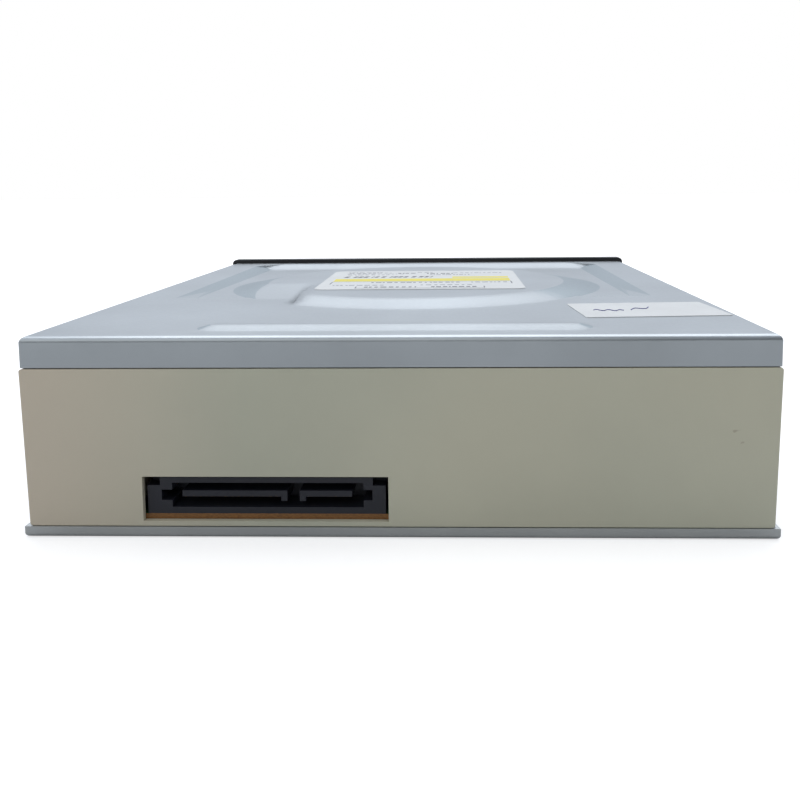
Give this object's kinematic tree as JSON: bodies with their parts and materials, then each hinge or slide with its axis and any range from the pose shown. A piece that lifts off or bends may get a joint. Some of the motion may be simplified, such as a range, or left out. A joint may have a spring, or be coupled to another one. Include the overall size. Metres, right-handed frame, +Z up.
{
  "type": "internal dvd drive",
  "caption": "Half-height internal optical disc drive with a steel case, motorised disc tray, tilting traverse deck and serial rear connector.",
  "frame": {"origin": "centre of the underside of the whole drive", "axes": "+X to the right as seen from the rear, +Y from the rear connector to the front bezel, +Z up"},
  "size_m": [0.1472, 0.17, 0.0414],
  "materials": {
    "black_plastic": "moulded, fine matt texture",
    "board_green": "glass fibre board with green mask",
    "bright_steel": "bright steel",
    "chip_black": "epoxy package",
    "clear_lamp": "clear light pipe",
    "connector_plastic": "black nylon",
    "copper_winding": "enamelled copper",
    "cover_steel": "zinc coated sheet steel, fine satin",
    "die_cast": "die cast, matt",
    "gold_contact": "gold plated",
    "ivory_plastic": "moulded, fine matt texture",
    "label_paper": "white label with plain colour bars",
    "lens_glass": "coated lens",
    "lip_steel": "zinc coated sheet steel, edge darker",
    "pad_grey": "thermal pad",
    "rod_steel": "ground rod",
    "screw_steel": "zinc plated",
    "soft_rubber": "soft black rubber",
    "tray_plastic": "black moulded",
    "white_plastic": "natural acetal"
  },
  "bodies": {
    "casing": {"top_cover": "cover_steel", "bottom_cover": "lip_steel", "cover_screws": "screw_steel", "main_chassis": "ivory_plastic", "front_bezel": "black_plastic", "indicator_window": "clear_lamp", "front_board": "board_green", "eject_switch": "black_plastic", "indicator_led": "clear_lamp", "tray_switch": "black_plastic", "loader_motor": "bright_steel", "drive_belt": "soft_rubber", "clamper_bridge": "bright_steel", "bridge_screws": "screw_steel", "main_board": "board_green", "sata_connector": "connector_plastic", "connector_contacts": "gold_contact", "board_chips": "chip_black", "thermal_pad": "pad_grey", "cable_sockets": "white_plastic", "capacitors": "chip_black", "chip_parts": "chip_black", "product_label": "label_paper", "small_sticker": "label_paper"},
    "tray": {"disc_tray": "tray_plastic", "tray_door": "black_plastic"},
    "drive_gear": {"drive_gear": "white_plastic"},
    "pulley_gear": {"pulley_gear": "white_plastic"},
    "motor_rotor": {"motor_shaft": "rod_steel", "motor_pulley": "white_plastic"},
    "cam_slider": {"cam_slider": "white_plastic"},
    "deck": {"swing_frame": "tray_plastic", "deck_plate": "bright_steel", "grommets": "soft_rubber", "deck_screws": "screw_steel", "motor_plate": "bright_steel", "spindle_bearing": "gold_contact", "stator": "copper_winding", "guide_rods": "rod_steel", "rod_clips": "bright_steel", "screw_bracket": "bright_steel", "stepper_motor": "bright_steel"},
    "spindle": {"spindle_rotor": "bright_steel", "turntable": "tray_plastic", "turntable_ring": "soft_rubber", "centring_hub": "white_plastic"},
    "clamper": {"clamper_puck": "white_plastic", "clamper_yoke": "bright_steel"},
    "sled": {"pickup_housing": "die_cast", "laser_diode": "bright_steel", "nut_arm": "white_plastic", "actuator_base": "bright_steel", "actuator_magnets": "chip_black", "wire_holder": "black_plastic"},
    "lens": {"lens_holder": "chip_black", "objective_lens": "lens_glass"},
    "lead_screw": {"lead_screw": "rod_steel"},
    "eject_button": {"eject_button": "black_plastic"},
    "switch_plunger": {"switch_plunger": "white_plastic"}
  },
  "joints": [
    {"name": "tray_slide", "type": "slide", "parent": "casing", "child": "tray", "axis": [0, 1, 0], "range_m": [0, 0.138]},
    {"name": "drive_gear_spin", "type": "hinge", "parent": "casing", "child": "drive_gear", "pos_m": [0.045, 0.064, 0.016], "axis": [0, 0, 1], "range_deg": [0, 1131]},
    {"name": "pulley_gear_spin", "type": "hinge", "parent": "casing", "child": "pulley_gear", "pos_m": [0.029, 0.064, 0.016], "axis": [0, 0, 1], "range_deg": [-3390, 0]},
    {"name": "motor_spin", "type": "hinge", "parent": "casing", "child": "motor_rotor", "pos_m": [0.001, 0.062, 0.016], "axis": [0, 0, 1], "range_deg": [-13798, 0]},
    {"name": "deck_tilt", "type": "hinge", "parent": "casing", "child": "deck", "pos_m": [0, -0.076, 0.014], "axis": [1, 0, 0], "range_deg": [0, 5.2]},
    {"name": "cam_slide", "type": "slide", "parent": "casing", "child": "cam_slider", "axis": [1, 0, 0], "range_m": [0, 0.014]},
    {"name": "spindle_spin", "type": "hinge", "parent": "deck", "child": "spindle", "pos_m": [0, 0.00222, 0.01291], "axis": [0, 0.0906, 0.9959], "continuous": true},
    {"name": "clamper_spin", "type": "hinge", "parent": "casing", "child": "clamper", "pos_m": [0, 0.002, 0.033], "axis": [0, 0, 1], "continuous": true},
    {"name": "sled_slide", "type": "slide", "parent": "deck", "child": "sled", "axis": [0, -0.9959, 0.0906], "range_m": [0, 0.035]},
    {"name": "lead_screw_spin", "type": "hinge", "parent": "deck", "child": "lead_screw", "pos_m": [0.0392, -0.04518, 0.01059], "axis": [0, -0.9959, 0.0906], "range_deg": [0, 4202]},
    {"name": "lens_focus", "type": "slide", "parent": "sled", "child": "lens", "axis": [0, 0.0906, 0.9959], "range_m": [-0.0005, 0.0005], "stiffness_N_per_m": 60},
    {"name": "eject_press", "type": "slide", "parent": "casing", "child": "eject_button", "axis": [0, -1, 0], "range_m": [0, 0.0005], "stiffness_N_per_m": 800, "springref_m": -0.0002},
    {"name": "plunger_press", "type": "slide", "parent": "casing", "child": "switch_plunger", "axis": [0, -1, 0], "range_m": [0, 0.00026]}
  ],
  "couplings": [
    {"joint": "drive_gear_spin", "follows": "tray_slide", "rad_per_m": 142.86},
    {"joint": "pulley_gear_spin", "follows": "tray_slide", "rad_per_m": -428.57},
    {"joint": "motor_spin", "follows": "tray_slide", "rad_per_m": -1744.9},
    {"joint": "cam_slide", "follows": "deck_tilt", "m_per_rad": 0.15425},
    {"joint": "lead_screw_spin", "follows": "sled_slide", "rad_per_m": 2094.4},
    {"joint": "plunger_press", "follows": "eject_press", "ratio": 0.5}
  ]
}
